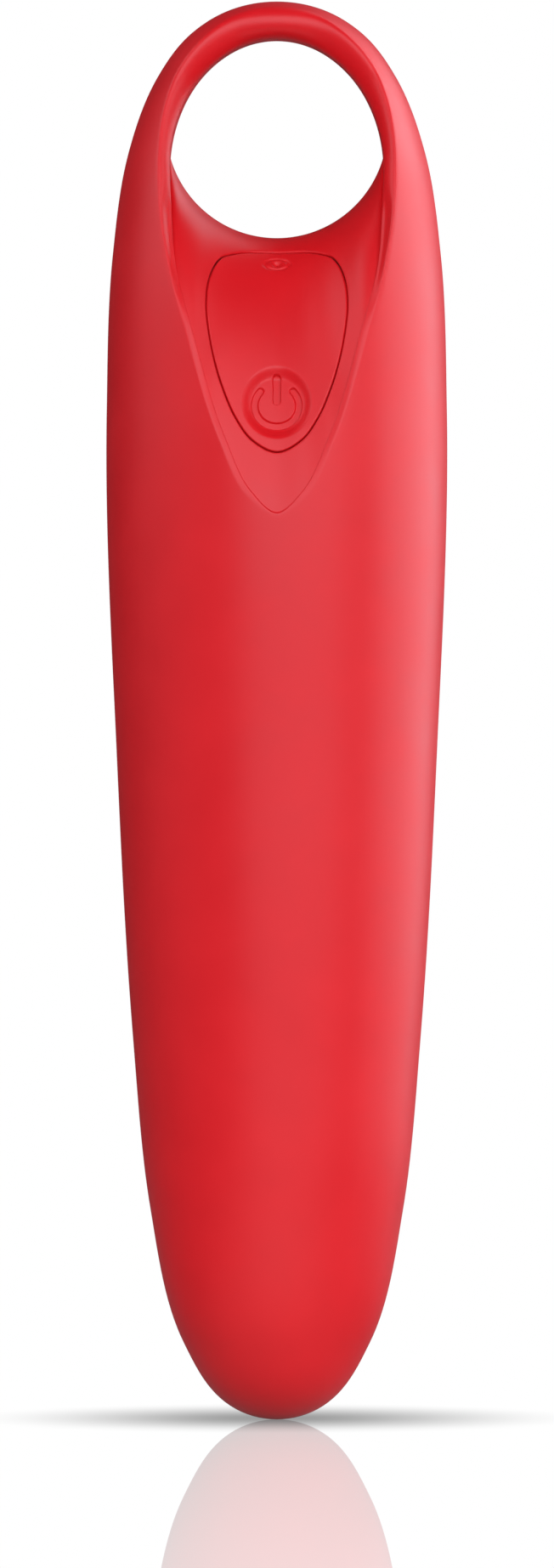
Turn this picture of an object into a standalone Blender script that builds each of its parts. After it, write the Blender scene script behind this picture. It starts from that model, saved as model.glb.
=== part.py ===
"""Handheld massager with a finger loop: a soft sleeve over two rigid shells, with its motor, cell and board.

Metres, +Z up. The origin is the tip, the loop is at the top and the control panel faces -Y.
"""

import math

import bmesh
import bpy
import numpy as np
from mathutils import Matrix, Vector

OBJECT = "handheld_massager"

# Outer form: half-widths of the round body at heights above the tip.
LENGTH = 0.135
STATIONS = [
    (0.0, 0.0), (0.0073, 0.00886), (0.0202, 0.01206), (0.0364, 0.0137), (0.0623, 0.0152), (0.096, 0.0162),
    (0.1109, 0.01562), (0.1206, 0.01412), (0.1279, 0.01129), (0.1321, 0.00797), (LENGTH, 0.0),
]
TIP_RADIUS = 0.0084
TOP_RADIUS = 0.013

# Finger hole: a round lower edge and an elliptical upper edge that meet in two corners.
HOLE_RADIUS = 0.01052
HOLE_CENTRE_Z = 0.123
CORNER = (0.01012, 0.1202)
HOLE_TOP_Z = 0.1313
HOLE_BOTTOM_Z = HOLE_CENTRE_Z - HOLE_RADIUS

# Rim of the scoop, from the V's tip up the right side to the loop's crest, as (x, z).
RIM = [
    (0.0, 0.0856), (0.0023, 0.087), (0.0055, 0.0931), (0.0086, 0.1028), (0.0109, 0.1125),
    (0.01135, 0.1185), (0.0105, 0.1254), (0.0068, 0.1311), (0.0, 0.1334),
]
FOOT_INSET = 0.0008
RIM_STEP = 0.0004
WALL_DEPTH = 0.003
WALL_FROM_Z = 0.1
VALLEY_BULGE = 0.15

# Layers, measured in from the outer form.
SKIN = 0.0018
GAP = 0.0003
SHELL_WALL = 0.0012
SHELL_OUTSIDE = SKIN + GAP
SHELL_INSIDE = SHELL_OUTSIDE + SHELL_WALL

# Control panel: its outline as (x, z) from the bottom up its right side, and the key on it.
PANEL = [
    (0.0, 0.0921), (0.0024, 0.0933), (0.0039, 0.0954), (0.0059, 0.1009), (0.00665, 0.106),
    (0.0059, 0.1098), (0.0047, 0.111), (0.0, 0.1111),
]
BUTTON_Z = 0.0968
BUTTON_RADIUS = 0.00305
BUTTON_DIP = 0.0006
BUTTON_THICKNESS = 0.001
ACTUATOR_RADIUS = 0.0017
ACTUATOR_FLANGE = 0.0026
SWITCH_SIZE = 0.0046
STEM_RADIUS = 0.001
STEM_LOW = -0.0060
SWITCH_TOP = -0.0054
FLANGE_TOP, FLANGE_LOW = -0.0036, -0.0042
FOOT_RADIUS, FOOT_LOW = 0.0011, -0.0046
BORE_DEPTH = 0.0045

# Board behind the panel, as depths below the key's face.
BOARD_TOP = 0.0072
BOARD_THICKNESS = 0.001
BOARD_WIDTH = 0.0146
BOARD_LOW, BOARD_HIGH = -0.0098, 0.0085
BOARD_SCREWS = (0.0052, -0.0074)
BOARD_SCREW_END = -0.0046
BOARD_SCREW_HEAD = 0.0008
CHIP_HEIGHT = 0.0009

# Charging jack, down the normal of the point where the pinhole is.
PORT_Z = 0.1099
PORT_HOLE_RADIUS = 0.0007
JACK_RADIUS = 0.0022
JACK_BORE = 0.00135
JACK_PIN_RADIUS = 0.00045
JACK_LENGTH = 0.0085
JACK_FLOOR = 0.0012
JACK_PIN_SUNK = 0.001
JACK_HOLE_DEPTH = 0.0065

# Cell and motor, on the body's axis.
CELL_RADIUS = 0.0065
CELL_BOTTOM, CELL_TOP = 0.0434, 0.0824
NUB_RADIUS, NUB_HEIGHT = 0.002, 0.001
CELL_BEVEL = 0.0006
PAD_HALF, PAD_THICKNESS = 0.003, 0.0028
PAD_BOTTOM, PAD_TOP = 0.050, 0.074
CAN_RADIUS = 0.006
CAN_WALL = 0.0006
CAN_BOTTOM, CAN_TOP = 0.020, 0.038
NOSE_RADIUS, NOSE_LENGTH = 0.0028, 0.0012
BUSH_RADIUS, BUSH_SHIFT = 0.0017, 0.0002
END_CAP = 0.0025
MAGNET_BORE = 0.0042
MAGNET_BOTTOM, MAGNET_TOP = 0.0222, 0.0346
BRUSH_NEAR, BRUSH_FAR, BRUSH_HALF = 0.0023, 0.0034, 0.0006
BRUSH_BOTTOM, BRUSH_TOP = 0.0362, 0.0375
TERMINAL_FAR, TERMINAL_HALF, TERMINAL_HEIGHT = 0.004, 0.001, 0.0024
CLAMP_RADIUS = 0.0074
CLAMP_BOTTOM, CLAMP_TOP, EAR_TOP = 0.0334, 0.0366, 0.0358

# Rotor: the shaft, the wound core of three poles, the commutator and the weight off its centre.
SHAFT_RADIUS = 0.00075
SHAFT_BOTTOM, SHAFT_TOP = 0.0112, 0.0408
CORE_RADIUS = 0.0038
CORE_BOTTOM, CORE_TOP = 0.0236, 0.0328
WINDING_RADIUS, WINDING_BORE = 0.0036, 0.0014
WINDING_BOTTOM, WINDING_TOP = 0.0331, 0.0345
POLES = 3
SLOT_CENTRE, SLOT_RADIUS, COIL_RADIUS = 0.0027, 0.00085, 0.00055
COMMUTATOR_RADIUS = 0.002
COMMUTATOR_BOTTOM, COMMUTATOR_TOP = 0.0348, 0.0377
WEIGHT_RADIUS = 0.0052
WEIGHT_BOTTOM, WEIGHT_TOP = 0.0118, 0.0178
WEIGHT_BACK = 0.0018

# Shell screws, along Y through bosses at these (x, z).
BOSSES = [(0.0084, 0.030), (0.01, 0.087)]
BOSS_RADIUS = 0.0019
EAR_X, EAR_HALF, EAR_THICKNESS = 0.00805, 0.00135, 0.001
RIB_HEIGHTS, RIB_THICKNESS, RIB_REACH = (0.048, 0.076), 0.0014, 0.02
CELL_SLEEVE_RADIUS = CELL_RADIUS + 0.0007
LEAD_RADIUS = 0.00045
LEAD_RING = 0.009
SCREW_RADIUS = 0.0008
SCREW_HEAD_RADIUS = 0.0014
SCREW_HEAD_TOP, SCREW_HEAD_LOW, SCREW_END = 0.0048, 0.0038, -0.0042

RED = (0.70, 0.012, 0.016)
RED_KEY = (0.62, 0.012, 0.016)
SHELL_WHITE = (0.75, 0.75, 0.73)
STEEL = (0.55, 0.56, 0.58)
BRASS = (0.78, 0.57, 0.22)
COPPER = (0.72, 0.32, 0.14)
BLACK = (0.02, 0.02, 0.022)
GREEN = (0.02, 0.17, 0.07)
BLUE = (0.05, 0.14, 0.42)
GREY = (0.2, 0.2, 0.21)


def start_scene():
    """Clears the scene and returns the collections for the parts and for the cutters."""
    for obj in list(bpy.data.objects):
        bpy.data.objects.remove(obj, do_unlink=True)
    made = []
    for name in (OBJECT, "cutters"):
        collection = bpy.data.collections.new(name)
        bpy.context.scene.collection.children.link(collection)
        made.append(collection)
    return made


PARTS, CUTTERS = start_scene()


def material(name, colour, roughness, metallic=0.0):
    made = bpy.data.materials.new(name)
    made.use_nodes = True
    shader = made.node_tree.nodes["Principled BSDF"]
    shader.inputs["Base Color"].default_value = (*colour, 1.0)
    shader.inputs["Roughness"].default_value = roughness
    shader.inputs["Metallic"].default_value = metallic
    return made


def place(name, data, look=None, parent=None):
    """Links a part, or a cutter where no look is given: look is (colour, roughness, metallic)."""
    obj = bpy.data.objects.new(name, data)
    obj.parent = parent
    if look is None:
        CUTTERS.objects.link(obj)
        obj.hide_render = True
        obj.display_type = "WIRE"
    else:
        PARTS.objects.link(obj)
        data.materials.append(material(name, *look))
    return obj


def empty(name, location, tilt):
    """A frame whose Z is the surface's normal, tilt radians above the horizontal, towards -Y."""
    obj = bpy.data.objects.new(name, None)
    PARTS.objects.link(obj)
    obj.location = location
    obj.rotation_euler = (math.pi / 2 - tilt, 0.0, 0.0)
    return obj


def mesh_from(name, points, edges=(), faces=()):
    mesh = bpy.data.meshes.new(name)
    mesh.from_pydata([tuple(point) for point in points], edges, faces)
    return mesh


def turned(name, profile, look=None, parent=None, steps=24, closed=False):
    """A Screw about Z of a profile of (radius, z), which runs down its outer side."""
    count = len(profile)
    edges = [(k, k + 1) for k in range(count - 1)] + ([(count - 1, 0)] if closed else [])
    mesh = mesh_from(name, [(radius, 0.0, z) for radius, z in profile], edges)
    obj = place(name, mesh, look, parent)
    screw = obj.modifiers.new("turn", "SCREW")
    screw.steps = screw.render_steps = steps
    screw.use_merge_vertices = True
    screw.merge_threshold = 0.00001
    return obj


def tube(name, outer, inner, bottom, top, look, parent=None, steps=24):
    profile = [(outer, top), (outer, bottom), (inner, bottom), (inner, top)]
    return turned(name, profile, look, parent, steps, closed=True)


def rod(name, radius, bottom, top, look=None, parent=None, sides=16, centre=(0.0, 0.0), along="Z"):
    """A cylinder between two heights on an axis through centre."""
    turn = Matrix.Rotation(math.pi / 2, 4, "X") if along == "Y" else Matrix.Identity(4)
    middle = Matrix.Translation((*centre, (bottom + top) / 2))
    mesh = bpy.data.meshes.new(name)
    shape = bmesh.new()
    bmesh.ops.create_cone(
        shape, cap_ends=True, segments=sides, radius1=radius, radius2=radius,
        depth=top - bottom, matrix=middle,
    )
    bmesh.ops.transform(shape, matrix=turn, verts=shape.verts)
    shape.to_mesh(mesh)
    shape.free()
    return place(name, mesh, look, parent)


def block(name, low, high, look=None, parent=None):
    """A box between two corners."""
    low, high = Vector(low), Vector(high)
    mesh = bpy.data.meshes.new(name)
    shape = bmesh.new()
    matrix = Matrix.Translation((low + high) / 2) @ Matrix.Diagonal((*(high - low), 1.0))
    bmesh.ops.create_cube(shape, size=1.0, matrix=matrix)
    shape.to_mesh(mesh)
    shape.free()
    return place(name, mesh, look, parent)


def loft(name, loops, look=None, parent=None):
    """A closed solid through loops of equally many points, capped at both ends."""
    count = len(loops[0])
    points = [point for loop in loops for point in loop]
    faces = [tuple(range(count)), tuple(range(len(points) - 1, len(points) - count - 1, -1))]
    for row in range(len(loops) - 1):
        for k in range(count):
            near, far = row * count + k, row * count + (k + 1) % count
            faces.append((near, near + count, far + count, far))
    mesh = mesh_from(name, points, (), faces)
    shape = bmesh.new()
    shape.from_mesh(mesh)
    bmesh.ops.recalc_face_normals(shape, faces=shape.faces)
    shape.to_mesh(mesh)
    shape.free()
    return place(name, mesh, look, parent)


def combine(obj, operation, *others):
    for other in others:
        step = obj.modifiers.new(f"{operation.lower()}_{other.name}", "BOOLEAN")
        step.operation = operation
        step.object = other
    return obj


def cut(obj, *others):
    return combine(obj, "DIFFERENCE", *others)


def join(obj, *others):
    return combine(obj, "UNION", *others)


def keep(obj, *others):
    return combine(obj, "INTERSECT", *others)


def smooth_curve(points, count):
    """count points along the Catmull-Rom curve through the points, evenly spaced in length."""
    given = np.array(points, float)
    padded = np.vstack([2 * given[0] - given[1], given, 2 * given[-1] - given[-2]])
    fine = []
    for k in range(len(given) - 1):
        a, b, c, d = padded[k : k + 4]
        for t in np.linspace(0, 1, 40, endpoint=k == len(given) - 2):
            bend = (2 * a - 5 * b + 4 * c - d) * t**2 + (3 * b - a - 3 * c + d) * t**3
            fine.append(0.5 * (2 * b + (c - a) * t + bend))
    fine = np.array(fine)
    length = np.concatenate([[0], np.cumsum(np.linalg.norm(np.diff(fine, axis=0), axis=1))])
    spaced = np.linspace(0, length[-1], count)
    return np.stack([np.interp(spaced, length, fine[:, axis]) for axis in range(given.shape[1])], axis=1)


def mirrored_loop(half):
    """A whole loop of (x, z) from its half at x >= 0, which starts and ends on the middle line."""
    return list(half) + [(-x, z) for x, z in half[-2:0:-1]]


def half_width(z):
    """The round body's radius at height z. Its square is a cubic between stations, so both ends are round."""
    heights = np.array([station[0] for station in STATIONS])
    squares = np.array([station[1] ** 2 for station in STATIONS])
    slopes = np.gradient(squares, heights)
    slopes[0], slopes[-1] = 2 * TIP_RADIUS, -2 * TOP_RADIUS
    k = int(np.clip(np.searchsorted(heights, z) - 1, 0, len(heights) - 2))
    step = heights[k + 1] - heights[k]
    t = (z - heights[k]) / step
    square = (2 * t**3 - 3 * t**2 + 1) * squares[k] + (t**3 - 2 * t**2 + t) * step * slopes[k]
    square += (3 * t**2 - 2 * t**3) * squares[k + 1] + (t**3 - t**2) * step * slopes[k + 1]
    return math.sqrt(max(square, 0.0))


def fall(u):
    """Depth of the scoop's floor at a share u of the way from the hole's edge, as a share of its foot's."""
    return math.sqrt(u) * (1 + VALLEY_BULGE * (1 - u))


def valley(z):
    """Depth of the scoop's floor in front of the axis, on the middle line."""
    u = (HOLE_BOTTOM_Z - z) / (HOLE_BOTTOM_Z - RIM[0][1])
    return half_width(RIM[0][1]) * fall(min(max(u, 0.0), 1.0))


def valley_tilt(z):
    """Angle of the floor's normal above the horizontal."""
    step = 0.0001
    return math.atan((valley(z - step) - valley(z + step)) / (2 * step))


def body_profile(inset, rows):
    """The outer form's profile moved in by inset, from top to tip, with rows spaced closer at the ends."""
    profile = []
    step = 0.00005
    for k in range(1, rows):
        z = LENGTH * (1 + math.cos(math.pi * k / rows)) / 2
        slope = (half_width(z + step) - half_width(z - step)) / (2 * step)
        size = math.hypot(1.0, slope)
        profile.append((half_width(z) - inset / size, z + inset * slope / size))
    return [(0.0, LENGTH - inset)] + profile + [(0.0, inset)]


def valley_outline(inset):
    """The scoop's middle line moved in by inset, as (y, z), from the saddle down the front."""
    foot = RIM[0][1]
    line = []
    for k in range(1, 9):
        z = HOLE_BOTTOM_Z - (HOLE_BOTTOM_Z - foot) * (k / 8) ** 2
        tilt = valley_tilt(max(z, foot + 0.0005))
        line.append((-valley(z) + inset * math.cos(tilt), z - inset * math.sin(tilt)))
    return [(0.0, HOLE_BOTTOM_Z - inset)] + [point for point in line if point[0] < -0.001]


def core(name, inset, rows=14, steps=36):
    """A cutter of the form inside the outer one by inset: the round body below both scoops."""
    front = valley_outline(inset)
    side, low = 0.03, -0.01
    front += [(-side, front[-1][1] - 0.004), (-side, low)]
    outline = front + [(-y, z) for y, z in reversed(front[1:])]
    wedge = loft(f"{name}_wedge", [[(x, y, z) for y, z in outline] for x in (-side, side)])
    return keep(turned(name, body_profile(inset, rows), steps=steps), wedge)


def hole_edge(count):
    """The hole's edge from bottom to top at x >= 0, with the arc's share of the points as in the rim."""
    corner_angle = math.atan2(CORNER[0], HOLE_CENTRE_Z - CORNER[1])
    on_arc = round(count * 0.62)
    arc = [corner_angle * k / on_arc for k in range(on_arc)]
    lower = [(HOLE_RADIUS * math.sin(a), HOLE_CENTRE_Z - HOLE_RADIUS * math.cos(a)) for a in arc]
    rise = HOLE_TOP_Z - CORNER[1]
    turn = [math.pi / 2 * k / (count - on_arc - 1) for k in range(count - on_arc)]
    return lower + [(CORNER[0] * math.cos(a), CORNER[1] + rise * math.sin(a)) for a in turn]


def scoop_cutter():
    """Both scoops and the finger hole as one loft, from in front of the body to behind it."""
    count = 24
    edge = np.array(hole_edge(count))
    rim = smooth_curve(RIM, count)
    towards = edge - rim
    foot = rim + towards * (FOOT_INSET / np.maximum(np.linalg.norm(towards, axis=1), FOOT_INSET))[:, None]
    foot[0] = rim[0]
    reach = np.array([math.sqrt(max(half_width(z) ** 2 - x**2, 0.0)) for x, z in rim])
    wall = WALL_DEPTH * np.clip((rim[:, 1] - WALL_FROM_Z) / 0.018, 0.0, 1.0)
    wall *= np.clip((LENGTH - rim[:, 1]) / 0.008, 0.0, 1.0)
    foot_depth = reach - RIM_STEP - wall
    outside = (rim, np.full(count, 0.03))
    rings = [outside, (rim * 2 - foot, reach * 2 - foot_depth), (foot, foot_depth)]
    for u in (0.7, 0.45, 0.25, 0.12, 0.04):
        rings.append((edge + (foot - edge) * u, foot_depth * fall(u)))
    front = [[(x, -y, z) for (x, z), y in zip(line, depth)] for line, depth in rings]
    back = [[(x, -y, z) for x, y, z in line] for line in front[::-1]]
    halves = front + [[(x, 0.0, z) for x, z in edge]] + back
    loops = []
    for line in halves:
        loops.append(line + [(-x, y, z) for x, y, z in line[-2:0:-1]])
    return loft("scoops", loops)


def body_form(name, scoops, look=None):
    return cut(turned(name, body_profile(0.0, 24), look, steps=48), scoops)


def panel_prism(name, outline, grow, look=None):
    """The panel's outline, moved out by grow, run through the front of the body along Y."""
    half = smooth_curve(outline, 14)
    middle = (half[0][1] + half[-1][1]) / 2
    loop = np.array(mirrored_loop([tuple(point) for point in half]))
    ahead, behind = np.roll(loop, -1, axis=0), np.roll(loop, 1, axis=0)
    along = ahead - behind
    outward = np.stack([along[:, 1], -along[:, 0]], axis=1) / np.linalg.norm(along, axis=1)[:, None]
    outward *= np.sign(((loop - (0.0, middle)) * outward).sum(axis=1))[:, None]
    loop = loop + outward * grow
    return loft(name, [[(x, y, z) for x, z in loop] for y in (-0.025, -0.0012)], look)


def skin_and_panel():
    silicone = (RED, 0.42)
    scoops = scoop_cutter()
    hollow = core("hollow", SKIN)
    sleeve = body_form("silicone_sleeve", scoops, silicone)
    cut(sleeve, hollow, panel_prism("panel_window", PANEL, GAP / 2))
    form = body_form("panel_form", scoops)
    panel = panel_prism("control_panel", PANEL, -GAP / 2, silicone)
    keep(panel, form)
    cut(panel, hollow)
    cut(panel, rod("key_hole", BUTTON_RADIUS + GAP, -0.003, 0.003, parent=KEY_FRAME, sides=32))
    cut(panel, rod("pinhole", PORT_HOLE_RADIUS, -0.004, 0.004, parent=PORT_FRAME, sides=12))


def key_parts():
    low = -(BUTTON_DIP + BUTTON_THICKNESS)
    rod("power_button", BUTTON_RADIUS, low, -BUTTON_DIP, (RED_KEY, 0.42), KEY_FRAME, sides=32)
    profile = [
        (0.0, low - GAP), (ACTUATOR_RADIUS, low - GAP), (ACTUATOR_RADIUS, FLANGE_TOP),
        (ACTUATOR_FLANGE, FLANGE_TOP), (ACTUATOR_FLANGE, FLANGE_LOW), (FOOT_RADIUS, FLANGE_LOW),
        (FOOT_RADIUS, FOOT_LOW), (0.0, FOOT_LOW),
    ]
    turned("button_actuator", profile, (SHELL_WHITE, 0.5), KEY_FRAME)
    floor = -(BOARD_TOP - GAP)
    size = SWITCH_SIZE / 2
    low, high = (-size, -size, floor), (size, size, SWITCH_TOP)
    switch = block("tact_switch_body", low, high, (BLACK, 0.45), KEY_FRAME)
    cut(switch, rod("stem_pocket", STEM_RADIUS + GAP, -0.0066, -0.005, parent=KEY_FRAME))
    rod("switch_stem", STEM_RADIUS, STEM_LOW, FOOT_LOW - GAP, (GREY, 0.4), KEY_FRAME)


def board_parts():
    top, low = -BOARD_TOP, -(BOARD_TOP + BOARD_THICKNESS)
    half = BOARD_WIDTH / 2
    board = block("circuit_board", (-half, BOARD_LOW, low), (half, BOARD_HIGH, top), (GREEN, 0.4), KEY_FRAME)
    x, y = BOARD_SCREWS
    for number, side in enumerate((-1, 1), 1):
        centre = (side * x, y)
        cut(board, rod(f"board_hole_{number}", SCREW_RADIUS + GAP, low - 0.001, top + 0.001,
                       parent=KEY_FRAME, centre=centre, sides=12))
        head = low - GAP
        end, back = BOARD_SCREW_END, head - BOARD_SCREW_HEAD
        profile = [
            (0.0, end), (SCREW_RADIUS, end), (SCREW_RADIUS, head), (SCREW_HEAD_RADIUS, head),
            (SCREW_HEAD_RADIUS, back), (0.0, back),
        ]
        screw = turned(f"board_screw_{number}", profile, (STEEL, 0.3, 1.0), KEY_FRAME, steps=12)
        screw.location = (*centre, 0.0)
    chip_top = low - GAP
    chip_low = chip_top - CHIP_HEIGHT
    block("microcontroller", (-0.0052, 0.0, chip_low), (-0.0012, 0.004, chip_top), (BLACK, 0.5), KEY_FRAME)
    block("charge_controller", (0.0018, 0.0005, chip_low), (0.0048, 0.0035, chip_top), (BLACK, 0.5), KEY_FRAME)


def charging_parts():
    top, low = -(SKIN + GAP), -(SKIN + GAP + JACK_LENGTH)
    floor = low + JACK_FLOOR
    profile = [
        (0.0, floor), (JACK_BORE, floor), (JACK_BORE, top), (JACK_RADIUS, top), (JACK_RADIUS, low), (0.0, low),
    ]
    turned("charging_jack", profile, (BLACK, 0.4), PORT_FRAME)
    rod("jack_pin", JACK_PIN_RADIUS, floor + GAP, top - JACK_PIN_SUNK, (BRASS, 0.3, 1.0), PORT_FRAME, sides=12)


def shell(name, side, posts=(), holes=()):
    """One rigid half shell, in front for side -1 and behind for side 1, with posts left in its hollow."""
    room, split = 0.03, GAP / 2
    near, far = sorted((side * split, side * room))
    half = block(name, (-room, near, -0.001), (room, far, 0.12), (SHELL_WHITE, 0.45))
    keep(half, core(f"{name}_outside", SHELL_OUTSIDE))
    inside = core(f"{name}_inside", SHELL_INSIDE, rows=12, steps=32)
    for number, (x, z) in enumerate(both_sides(BOSSES), 1):
        cut(inside, rod(f"{name}_boss_{number}", BOSS_RADIUS, -room, room, along="Y", centre=(x, z)))
        cut(half, screw_room(f"{name}_screw_room_{number}", x, z))
    cut(inside, *posts)
    cut(half, inside, *holes)
    for number, x in enumerate((-EAR_X, EAR_X), 1):
        ear = Vector((EAR_HALF + GAP, EAR_THICKNESS / 2 + GAP, BOSS_RADIUS + GAP))
        middle = Vector((x, 0.0, BOSSES[0][1]))
        cut(half, block(f"{name}_ear_room_{number}", middle - ear, middle + ear))


def both_sides(places):
    return [(side * x, z) for x, z in places for side in (-1, 1)]


def screw_profile(grow):
    """A shell screw along Z, head up, moved out by grow; the room for it also opens above the head."""
    shaft, head = SCREW_RADIUS + grow, SCREW_HEAD_RADIUS + grow
    top = SCREW_HEAD_TOP if grow == 0 else 0.03
    low = SCREW_HEAD_LOW - grow
    end = SCREW_END - grow
    return [(0.0, top), (head, top), (head, low), (shaft, low), (shaft, end), (0.0, end)]


def stand_along_y(obj, x, z):
    obj.rotation_euler = (-math.pi / 2, 0.0, 0.0)
    obj.location = (x, 0.0, z)
    return obj


def screw_room(name, x, z):
    return stand_along_y(turned(name, screw_profile(GAP), steps=12), x, z)


def shells():
    x, y = BOARD_SCREWS
    posts = []
    for number, side in enumerate((-1, 1), 1):
        centre = (side * x, y)
        low = -(BOARD_TOP - GAP)
        post = rod(f"board_post_{number}", BOSS_RADIUS, low, -0.002, parent=KEY_FRAME, centre=centre)
        low, top = -(BOARD_TOP + GAP), BOARD_SCREW_END + GAP
        radius = SCREW_RADIUS + GAP
        hole = rod(f"board_pilot_{number}", radius, low, top, parent=KEY_FRAME, centre=centre, sides=12)
        posts.append(cut(post, hole))
    for number, z in enumerate(RIB_HEIGHTS, 1):
        bore = CELL_SLEEVE_RADIUS + GAP
        posts.append(tube(f"cell_rib_{number}", RIB_REACH, bore, z, z + RIB_THICKNESS, None, steps=40))
    openings = [
        rod("actuator_bore", ACTUATOR_RADIUS + GAP, -BORE_DEPTH, 0.0, parent=KEY_FRAME, sides=24),
        rod("jack_hole", JACK_RADIUS + GAP, -JACK_HOLE_DEPTH, 0.0, parent=PORT_FRAME, sides=24),
    ]
    shell("front_housing", -1, posts, openings)
    shell("rear_housing", 1)
    for number, (x, z) in enumerate(both_sides(BOSSES), 1):
        stand_along_y(turned(f"housing_screw_{number}", screw_profile(0), (STEEL, 0.3, 1.0), steps=12), x, z)


def cell_parts():
    shoulder = CELL_TOP - NUB_HEIGHT
    profile = [
        (0.0, CELL_TOP), (NUB_RADIUS, CELL_TOP), (NUB_RADIUS, shoulder), (CELL_RADIUS - CELL_BEVEL, shoulder),
        (CELL_RADIUS, shoulder - CELL_BEVEL), (CELL_RADIUS, CELL_BOTTOM), (0.0, CELL_BOTTOM),
    ]
    turned("battery_cell", profile, (STEEL, 0.35, 1.0), steps=32)
    tube("battery_sleeve", CELL_SLEEVE_RADIUS, CELL_RADIUS + GAP, CELL_BOTTOM + 0.0005, CELL_TOP - 0.002,
         (BLUE, 0.35), steps=32)
    near = CELL_SLEEVE_RADIUS + GAP
    low, high = (-PAD_HALF, near, PAD_BOTTOM), (PAD_HALF, near + PAD_THICKNESS, PAD_TOP)
    block("battery_foam_pad", low, high, (GREY, 0.9))


def motor_parts():
    wall_in = CAN_RADIUS - CAN_WALL
    bore, nose_bore = SHAFT_RADIUS + GAP, BUSH_RADIUS + GAP
    nose_low, wall_top = CAN_BOTTOM - NOSE_LENGTH, CAN_BOTTOM + 0.001
    can = [
        (CAN_RADIUS, CAN_TOP), (CAN_RADIUS, CAN_BOTTOM), (NOSE_RADIUS, CAN_BOTTOM), (NOSE_RADIUS, nose_low),
        (nose_bore, nose_low), (nose_bore, wall_top), (wall_in, wall_top), (wall_in, CAN_TOP),
    ]
    turned("motor_can", can, (STEEL, 0.3, 1.0), steps=32, closed=True)
    brass = (BRASS, 0.35, 1.0)
    tube("front_bushing", BUSH_RADIUS, bore, nose_low - BUSH_SHIFT, wall_top - BUSH_SHIFT, brass, steps=20)
    cap_low, cap_top = CAN_TOP + GAP, CAN_TOP + END_CAP
    tube("motor_end_cap", CAN_RADIUS, nose_bore, cap_low, cap_top, (GREY, 0.5), steps=32)
    tube("rear_bushing", BUSH_RADIUS, bore, cap_low + BUSH_SHIFT, cap_top - BUSH_SHIFT, brass, steps=20)
    for side, hand in ((-1, "left"), (1, "right")):
        outer, look = wall_in - GAP, (BLACK, 0.6)
        magnet = tube(f"motor_magnet_{hand}", outer, MAGNET_BORE, MAGNET_BOTTOM, MAGNET_TOP, look, steps=32)
        near, far = sorted((side * 0.0018, side * 0.01))
        keep(magnet, block(f"magnet_room_{hand}", (near, -0.01, 0.02), (far, 0.01, 0.04)))
        near, far = sorted((side * BRUSH_NEAR, side * BRUSH_FAR))
        low, high = (near, -BRUSH_HALF, BRUSH_BOTTOM), (far, BRUSH_HALF, BRUSH_TOP)
        block(f"brush_{hand}", low, high, (BLACK, 0.7))
        near, far = sorted((side * BRUSH_FAR, side * TERMINAL_FAR))
        low, high = (near, -TERMINAL_HALF, cap_top + GAP), (far, TERMINAL_HALF, cap_top + TERMINAL_HEIGHT)
        block(f"motor_terminal_{hand}", low, high, (BRASS, 0.3, 1.0))


def rotor_parts():
    bore = SHAFT_RADIUS + GAP
    steel, copper = (STEEL, 0.4, 1.0), (COPPER, 0.35, 1.0)
    rod("motor_shaft", SHAFT_RADIUS, SHAFT_BOTTOM, SHAFT_TOP, (STEEL, 0.2, 1.0), sides=20)
    armature = tube("armature_core", CORE_RADIUS, bore, CORE_BOTTOM, CORE_TOP, steel, steps=36)
    low, top = WINDING_BOTTOM, WINDING_TOP
    windings = tube("armature_windings", WINDING_RADIUS, WINDING_BORE, low, top, copper, steps=30)
    for number in range(POLES):
        angle = math.radians(90 + 360 / POLES * number)
        centre = (SLOT_CENTRE * math.cos(angle), SLOT_CENTRE * math.sin(angle))
        cut(armature, rod(f"slot_{number}", SLOT_RADIUS, 0.02, 0.04, centre=centre, sides=12))
        join(windings, rod(f"coil_{number}", COIL_RADIUS, 0.0238, 0.034, centre=centre, sides=10))
    low, top = COMMUTATOR_BOTTOM, COMMUTATOR_TOP
    tube("commutator", COMMUTATOR_RADIUS, bore, low, top, (COPPER, 0.3, 1.0), steps=20)
    look = (STEEL, 0.35, 1.0)
    weight = tube("eccentric_weight", WEIGHT_RADIUS, bore, WEIGHT_BOTTOM, WEIGHT_TOP, look, steps=32)
    cut(weight, block("weight_room", (-0.01, WEIGHT_BACK, 0.01), (0.01, 0.01, 0.02)))


def clamp():
    boss_x, boss_z = BOSSES[0]
    ring = tube("motor_clamp", CLAMP_RADIUS, CAN_RADIUS + GAP, CLAMP_BOTTOM, CLAMP_TOP, (GREY, 0.5), steps=32)
    for number, side in enumerate((-1, 1), 1):
        half = Vector((EAR_HALF, EAR_THICKNESS / 2, 0.0))
        middle = Vector((side * EAR_X, 0.0, 0.0))
        low, high = middle - half, middle + half
        low.z, high.z = boss_z - BOSS_RADIUS, EAR_TOP
        join(ring, block(f"clamp_ear_{number}", low, high))
        cut(ring, rod(f"ear_hole_{number}", SCREW_RADIUS + GAP, -0.002, 0.002, along="Y",
                      centre=(side * boss_x, boss_z), sides=12))


def lead(name, route, colour):
    """An insulated wire along a smooth curve through its route."""
    curve = bpy.data.curves.new(name, "CURVE")
    curve.dimensions = "3D"
    curve.bevel_depth = LEAD_RADIUS
    curve.bevel_resolution = 1
    curve.use_fill_caps = True
    spline = curve.splines.new("POLY")
    points = smooth_curve(route, 18)
    spline.points.add(len(points) - 1)
    for target, point in zip(spline.points, points):
        target.co = (*point, 1.0)
    place(name, curve, (colour, 0.4))


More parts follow.
